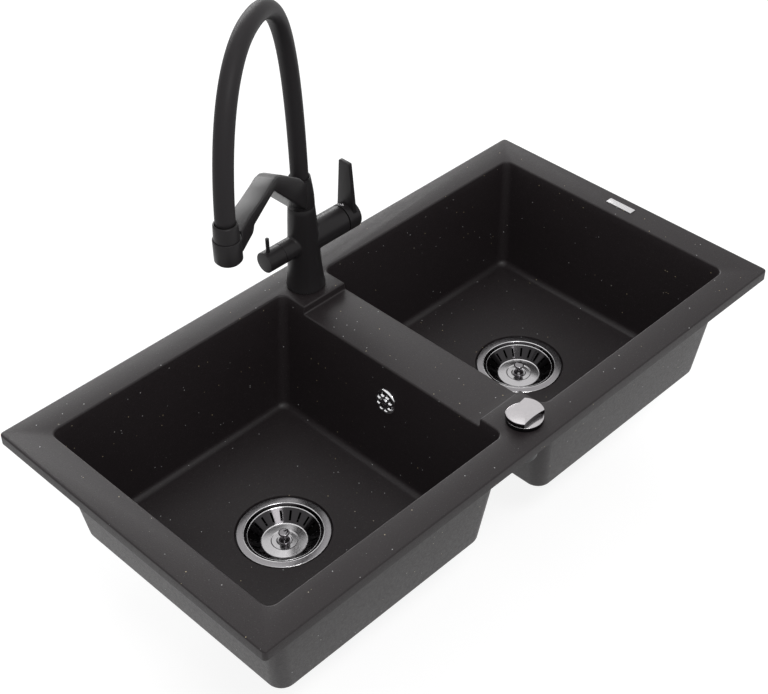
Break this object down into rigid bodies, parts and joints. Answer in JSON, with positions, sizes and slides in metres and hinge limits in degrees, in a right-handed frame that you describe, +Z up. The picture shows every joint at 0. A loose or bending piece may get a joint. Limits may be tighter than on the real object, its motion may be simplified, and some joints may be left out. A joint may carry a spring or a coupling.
{
  "type": "kitchen_sink",
  "caption": "Inset double bowl composite kitchen sink in dark grey with basket strainers, a waste control knob and a matt black lever mixer tap with a hose spout",
  "frame": {"origin": "The point on the flat underside of the rim in the middle of the front edge, 10 mm in from the front.", "axes": "X along the long side of the rim to the right as seen from the front, Y from the front to the back, Z up."},
  "size_m": [0.82, 0.43, 0.6692],
  "materials": {
    "composite": "granite composite, matt with fine pale flecks",
    "badge": "bright plate",
    "flange_steel": "satin pressed steel",
    "rubber": "matt",
    "steel": "bright",
    "chrome": "polished",
    "brass": "plain turned",
    "hose": "matt smooth hose",
    "cable": "matt sheath",
    "plastic": "moulded",
    "tap_black": "matt black"
  },
  "bodies": {
    "sink": {"sink_body": "composite", "tap_body": "tap_black", "waste_flange_left": "flange_steel", "waste_flange_right": "flange_steel", "waste_body_left": "plastic", "waste_body_right": "plastic", "overflow_rosette": "chrome", "overflow_elbow": "plastic", "overflow_pipe": "plastic", "pull_cable": "cable", "knob_base": "chrome", "waste_screw_right": "steel", "tap_shank": "brass", "cartridge": "plastic", "waste_seal_upper_left": "rubber", "waste_seal_lower_left": "rubber", "outlet_pipe_left": "plastic", "waste_seal_upper_right": "rubber", "waste_seal_lower_right": "rubber", "outlet_pipe_right": "plastic", "control_housing": "plastic", "tap_seal": "rubber", "tap_washer": "steel", "outlet_nut_left": "plastic", "outlet_nut_right": "plastic", "waste_screw_left": "steel", "control_nut": "plastic", "tap_nut": "brass", "overflow_screw": "chrome", "cable_gland_lower": "plastic", "cable_gland_upper": "plastic", "badge_plate": "badge"},
    "spout": {"swivel_collar": "tap_black", "spout_arm": "tap_black", "spout_hose": "hose"},
    "head": {"spray_head": "tap_black", "spray_nozzle": "rubber"},
    "lever_turner": {"lever_spindle": "plastic"},
    "lever": {"lever_cap": "tap_black", "lever_paddle": "tap_black", "lever_screw": "steel"},
    "side_valve": {"valve_handle": "tap_black", "valve_pin": "tap_black"},
    "knob": {"control_knob": "chrome"},
    "left_basket": {"basket_left": "steel", "basket_seal_left": "rubber", "basket_grip_left": "steel"},
    "right_basket": {"basket_right": "steel", "basket_seal_right": "rubber", "basket_grip_right": "steel", "lift_pin": "steel"}
  },
  "joints": [
    {"name": "spout_swivel", "type": "hinge", "parent": "sink", "child": "spout", "pos_m": [0, 0.3766, 0.128], "axis": [0, 0, 1], "range_deg": [-180, 180]},
    {"name": "head_lift", "type": "slide", "parent": "spout", "child": "head", "axis": [0, 0, 1], "range_m": [0, 0.04], "deforming": ["spout_hose"]},
    {"name": "lever_turn", "type": "hinge", "parent": "sink", "child": "lever_turner", "pos_m": [0.06, 0.3766, 0.077], "axis": [1, 0, 0], "range_deg": [-45, 45]},
    {"name": "lever_tilt", "type": "hinge", "parent": "lever_turner", "child": "lever", "pos_m": [0.061, 0.3766, 0.059], "axis": [0, 1, 0], "range_deg": [0, 22]},
    {"name": "valve_turn", "type": "hinge", "parent": "sink", "child": "side_valve", "pos_m": [-0.0373, 0.3766, 0.0765], "axis": [1, 0, 0], "range_deg": [0, 90]},
    {"name": "knob_turn", "type": "hinge", "parent": "sink", "child": "knob", "pos_m": [0, 0.027, 0.019], "axis": [0, 0, 1], "range_deg": [0, 90]},
    {"name": "left_basket_lift", "type": "slide", "parent": "sink", "child": "left_basket", "axis": [0, 0, 1], "range_m": [0, 0.04]},
    {"name": "right_basket_lift", "type": "slide", "parent": "sink", "child": "right_basket", "axis": [0, 0, 1], "range_m": [0, 0.008]}
  ],
  "couplings": [
    {"joint": "knob_turn", "follows": "right_basket_lift", "rad_per_m": 196}
  ]
}
